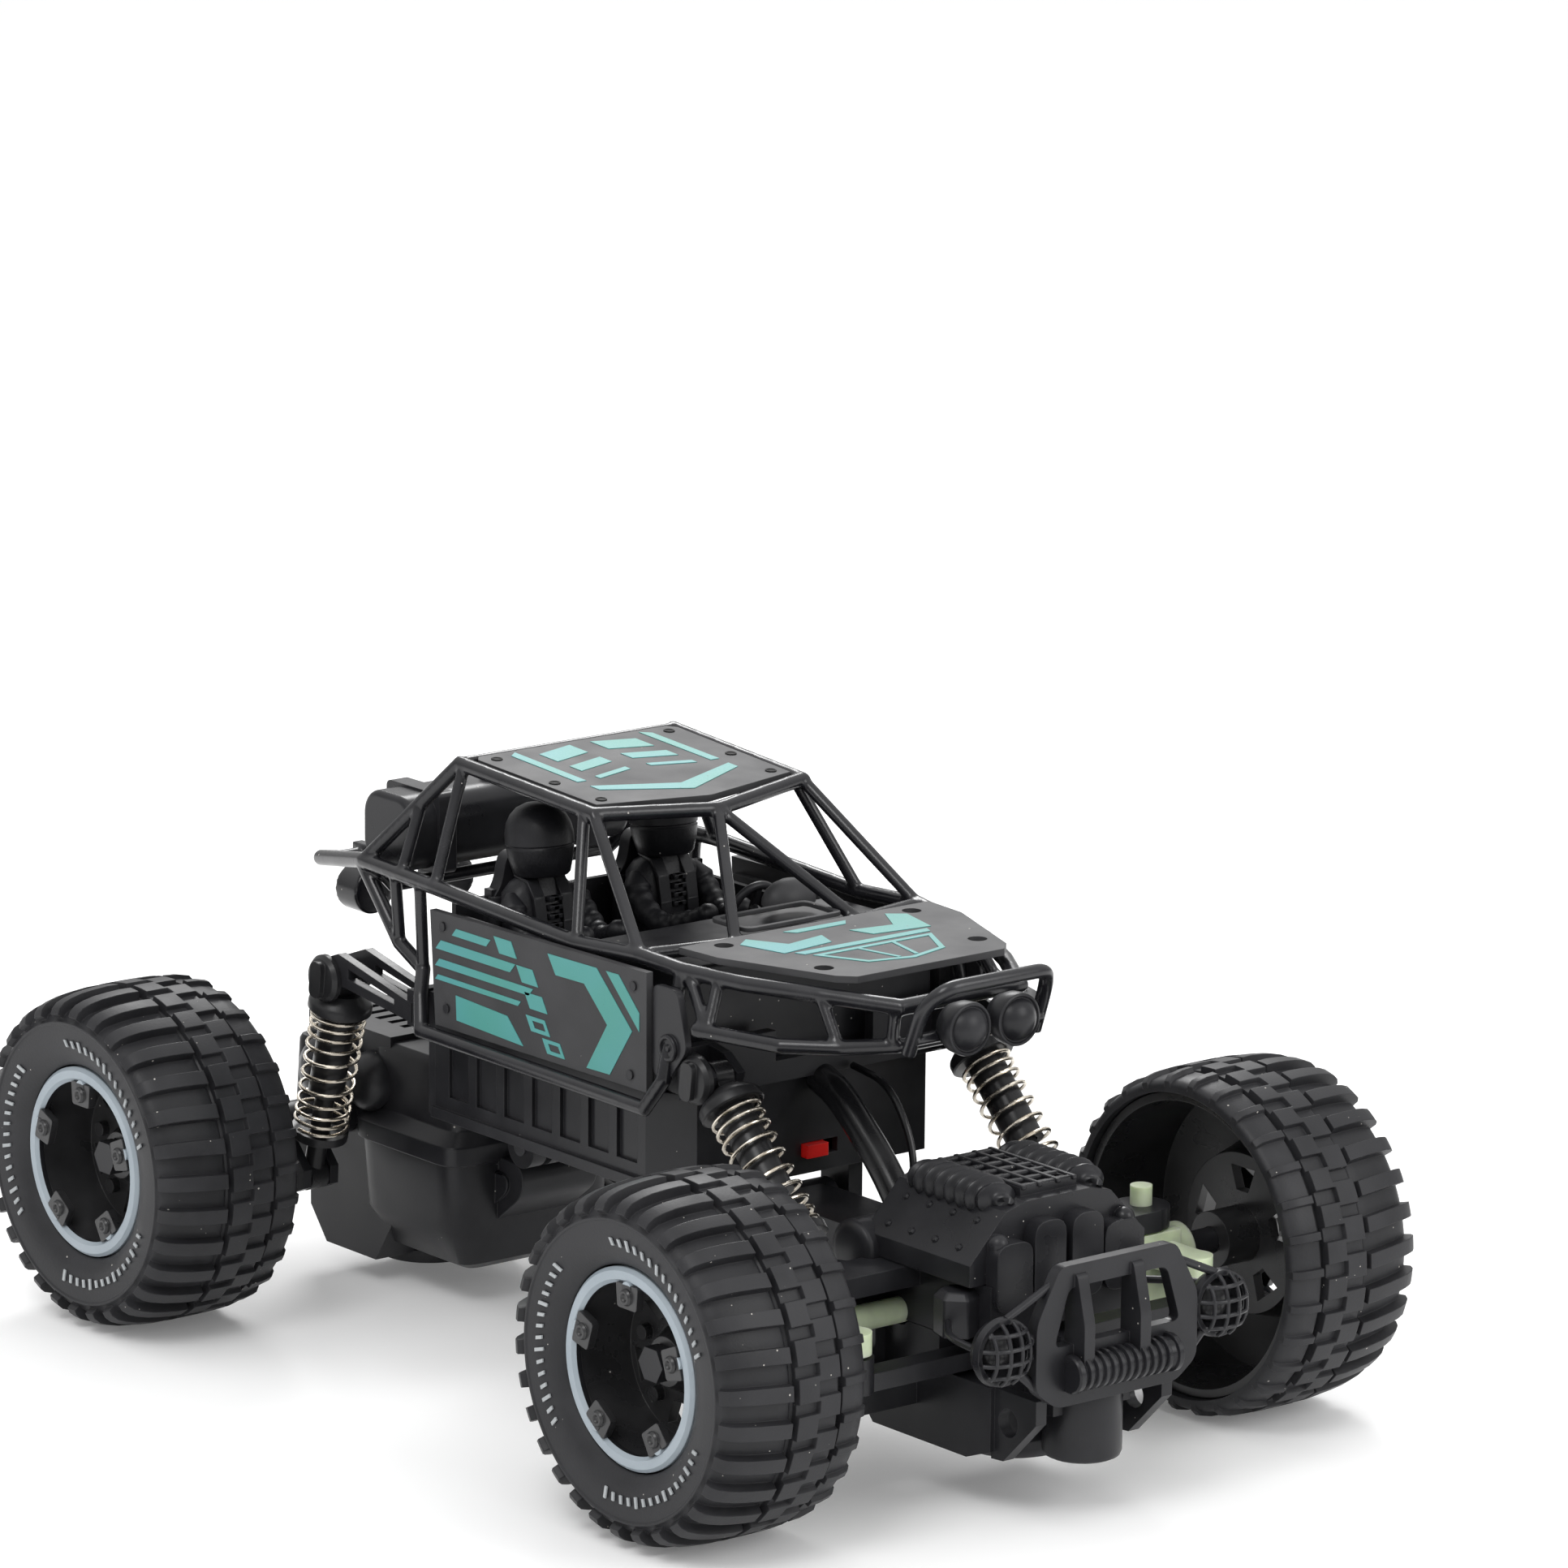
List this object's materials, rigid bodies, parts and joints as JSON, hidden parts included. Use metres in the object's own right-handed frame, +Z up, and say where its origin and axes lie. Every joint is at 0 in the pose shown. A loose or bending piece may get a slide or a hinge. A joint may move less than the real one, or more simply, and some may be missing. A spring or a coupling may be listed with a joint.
{
  "type": "remote control car",
  "caption": "Toy remote control rock crawler: tubular cage body over a tub, two swinging axles with coil shocks, steered front wheels, four large lugged tyres on dished rims.",
  "frame": {"origin": "on the ground, at the middle of the car's overall length and width", "axes": "+X forward, +Y to the car's left, +Z up"},
  "size_m": [0.3, 0.198, 0.1388],
  "materials": {
    "chassis_plastic": "satin",
    "cage_plastic": "gloss",
    "panel_plastic": "matte",
    "gearbox_plastic": "satin",
    "engine_plastic": "satin",
    "suit_plastic": "matte",
    "switch_plastic": "gloss",
    "nylon": "satin",
    "tyre_rubber": "matte",
    "rim_plastic": "satin",
    "ring_plastic": "satin",
    "shock_plastic": "gloss",
    "spring_steel": "polished",
    "motor_steel": "brushed",
    "pin_steel": "polished",
    "board": "gloss",
    "cell_wrap": "gloss",
    "sleeve_rubber": "gloss"
  },
  "bodies": {
    "chassis": {"chassis_tub": "chassis_plastic", "axle_pivot_pins": "pin_steel", "battery_cells": "cell_wrap", "circuit_board": "board", "roll_cage": "cage_plastic", "roof_panel": "panel_plastic", "hood_panel": "panel_plastic", "light_bar": "cage_plastic", "cockpit_tub": "chassis_plastic", "driver_figure": "suit_plastic", "passenger_figure": "suit_plastic", "fuel_tank": "engine_plastic", "front_shock_bracket": "chassis_plastic", "rear_shock_bracket": "chassis_plastic", "cable_sleeve": "sleeve_rubber", "body_screws": "chassis_plastic", "side_panel_left": "panel_plastic", "side_panel_right": "panel_plastic", "front_springs": "spring_steel", "rear_springs": "spring_steel"},
    "battery_door": {"battery_door": "chassis_plastic"},
    "power_switch": {"power_switch": "switch_plastic"},
    "front_axle": {"front_gearbox_upper": "gearbox_plastic", "front_gearbox_lower": "gearbox_plastic", "engine_cover": "engine_plastic", "front_bumper": "engine_plastic", "front_motor": "motor_steel", "steering_motor": "gearbox_plastic"},
    "rear_axle": {"rear_gearbox_upper": "gearbox_plastic", "rear_gearbox_lower": "gearbox_plastic", "rear_motor": "motor_steel"},
    "front_drive": {"front_drive_shaft": "nylon"},
    "front_pinion": {"front_motor_pinion": "nylon"},
    "steering_crank": {"steering_crank": "gearbox_plastic"},
    "knuckle_left": {"knuckle_left": "nylon"},
    "knuckle_right": {"knuckle_right": "nylon"},
    "tie_rod": {"tie_rod": "gearbox_plastic"},
    "front_wheel_left": {"front_tyre_left": "tyre_rubber", "front_rim_left": "rim_plastic", "front_bead_ring_left": "ring_plastic", "front_stub_axle_left": "gearbox_plastic"},
    "front_wheel_right": {"front_tyre_right": "tyre_rubber", "front_rim_right": "rim_plastic", "front_bead_ring_right": "ring_plastic", "front_stub_axle_right": "gearbox_plastic"},
    "rear_wheels": {"rear_tyre_left": "tyre_rubber", "rear_tyre_right": "tyre_rubber", "rear_rim_left": "rim_plastic", "rear_rim_right": "rim_plastic", "rear_bead_rings": "ring_plastic", "rear_axle_shaft": "gearbox_plastic"},
    "rear_pinion": {"rear_motor_pinion": "nylon"},
    "front_shock_barrel_left": {"front_shock_barrel_left": "shock_plastic"},
    "front_shock_rod_left": {"front_shock_rod_left": "shock_plastic"},
    "front_shock_barrel_right": {"front_shock_barrel_right": "shock_plastic"},
    "front_shock_rod_right": {"front_shock_rod_right": "shock_plastic"},
    "rear_shock_barrel_left": {"rear_shock_barrel_left": "shock_plastic"},
    "rear_shock_rod_left": {"rear_shock_rod_left": "shock_plastic"},
    "rear_shock_barrel_right": {"rear_shock_barrel_right": "shock_plastic"},
    "rear_shock_rod_right": {"rear_shock_rod_right": "shock_plastic"}
  },
  "joints": [
    {"name": "battery_door_hinge", "type": "hinge", "parent": "chassis", "child": "battery_door", "pos_m": [-0.0385, 0, 0.0532], "axis": [0, 1, 0], "range_deg": [0, 85]},
    {"name": "power_switch_slide", "type": "slide", "parent": "chassis", "child": "power_switch", "axis": [0, 1, 0], "range_m": [0, 0.004]},
    {"name": "front_axle_swing", "type": "hinge", "parent": "chassis", "child": "front_axle", "pos_m": [0.0315, 0, 0.045], "axis": [0, -1, 0], "range_deg": [0, 7], "deforming": ["front_springs"]},
    {"name": "rear_axle_swing", "type": "hinge", "parent": "chassis", "child": "rear_axle", "pos_m": [-0.0445, 0, 0.045], "axis": [0, 1, 0], "range_deg": [0, 7], "deforming": ["rear_springs"]},
    {"name": "front_shock_top_left", "type": "hinge", "parent": "chassis", "child": "front_shock_barrel_left", "pos_m": [0.051, 0.036, 0.0854], "axis": [0, -1, 0], "range_deg": [0, 5.32]},
    {"name": "front_shock_bottom_left", "type": "hinge", "parent": "front_axle", "child": "front_shock_rod_left", "pos_m": [0.0882, 0.036, 0.0467], "axis": [0, -1, 0], "range_deg": [-2.08, 0]},
    {"name": "rear_shock_top_left", "type": "hinge", "parent": "chassis", "child": "rear_shock_barrel_left", "pos_m": [-0.0861, 0.038, 0.081], "axis": [0, 1, 0], "range_deg": [0, 4.03]},
    {"name": "rear_shock_bottom_left", "type": "hinge", "parent": "rear_axle", "child": "rear_shock_rod_left", "pos_m": [-0.0995, 0.038, 0.0297], "axis": [0, 1, 0], "range_deg": [-3.37, 0]},
    {"name": "front_shock_top_right", "type": "hinge", "parent": "chassis", "child": "front_shock_barrel_right", "pos_m": [0.051, -0.036, 0.0854], "axis": [0, -1, 0], "range_deg": [0, 5.32]},
    {"name": "front_shock_bottom_right", "type": "hinge", "parent": "front_axle", "child": "front_shock_rod_right", "pos_m": [0.0882, -0.036, 0.0467], "axis": [0, -1, 0], "range_deg": [-2.08, 0]},
    {"name": "rear_shock_top_right", "type": "hinge", "parent": "chassis", "child": "rear_shock_barrel_right", "pos_m": [-0.0861, -0.038, 0.081], "axis": [0, 1, 0], "range_deg": [0, 4.03]},
    {"name": "rear_shock_bottom_right", "type": "hinge", "parent": "rear_axle", "child": "rear_shock_rod_right", "pos_m": [-0.0995, -0.038, 0.0297], "axis": [0, 1, 0], "range_deg": [-3.37, 0]},
    {"name": "steering", "type": "hinge", "parent": "front_axle", "child": "knuckle_left", "pos_m": [0.097, 0.049, 0.04], "axis": [0, 0, 1], "range_deg": [-20, 20]},
    {"name": "knuckle_right_pivot", "type": "hinge", "parent": "front_axle", "child": "knuckle_right", "pos_m": [0.097, -0.049, 0.04], "axis": [0, 0, 1], "range_deg": [-20, 20]},
    {"name": "tie_rod_pin", "type": "hinge", "parent": "knuckle_left", "child": "tie_rod", "pos_m": [0.1155, 0.049, 0.035], "axis": [0, 0, 1], "range_deg": [-20, 20]},
    {"name": "steering_crank_pivot", "type": "hinge", "parent": "front_axle", "child": "steering_crank", "pos_m": [0.1345, 0, 0.0369], "axis": [0, 0, 1], "range_deg": [-20, 20]},
    {"name": "front_wheel_left_spin", "type": "hinge", "parent": "knuckle_left", "child": "front_wheel_left", "pos_m": [0.097, 0.08, 0.04], "axis": [0, 1, 0], "continuous": true},
    {"name": "front_wheel_right_spin", "type": "hinge", "parent": "knuckle_right", "child": "front_wheel_right", "pos_m": [0.097, -0.08, 0.04], "axis": [0, 1, 0], "continuous": true},
    {"name": "front_drive_spin", "type": "hinge", "parent": "front_axle", "child": "front_drive", "pos_m": [0.097, 0, 0.04], "axis": [0, 1, 0], "continuous": true},
    {"name": "front_pinion_spin", "type": "hinge", "parent": "front_axle", "child": "front_pinion", "pos_m": [0.10292, 0.01, 0.05269], "axis": [0, 1, 0], "continuous": true},
    {"name": "rear_wheels_spin", "type": "hinge", "parent": "rear_axle", "child": "rear_wheels", "pos_m": [-0.11, 0, 0.04], "axis": [0, 1, 0], "continuous": true},
    {"name": "rear_pinion_spin", "type": "hinge", "parent": "rear_axle", "child": "rear_pinion", "pos_m": [-0.103, 0.01, 0.05212], "axis": [0, 1, 0], "continuous": true}
  ],
  "couplings": [
    {"joint": "front_shock_top_left", "follows": "front_axle_swing", "ratio": 0.7315},
    {"joint": "front_shock_bottom_left", "follows": "front_axle_swing", "ratio": -0.2685},
    {"joint": "rear_shock_top_left", "follows": "rear_axle_swing", "ratio": 0.5467},
    {"joint": "rear_shock_bottom_left", "follows": "rear_axle_swing", "ratio": -0.4533},
    {"joint": "front_shock_top_right", "follows": "front_axle_swing", "ratio": 0.7315},
    {"joint": "front_shock_bottom_right", "follows": "front_axle_swing", "ratio": -0.2685},
    {"joint": "rear_shock_top_right", "follows": "rear_axle_swing", "ratio": 0.5467},
    {"joint": "rear_shock_bottom_right", "follows": "rear_axle_swing", "ratio": -0.4533},
    {"joint": "knuckle_right_pivot", "follows": "steering", "ratio": 1},
    {"joint": "tie_rod_pin", "follows": "steering", "ratio": -1},
    {"joint": "steering_crank_pivot", "follows": "steering", "ratio": -1},
    {"joint": "front_wheel_right_spin", "follows": "front_wheel_left_spin", "ratio": 1},
    {"joint": "front_drive_spin", "follows": "front_wheel_left_spin", "ratio": 1},
    {"joint": "front_pinion_spin", "follows": "front_wheel_left_spin", "ratio": -4},
    {"joint": "rear_pinion_spin", "follows": "rear_wheels_spin", "ratio": -4}
  ]
}
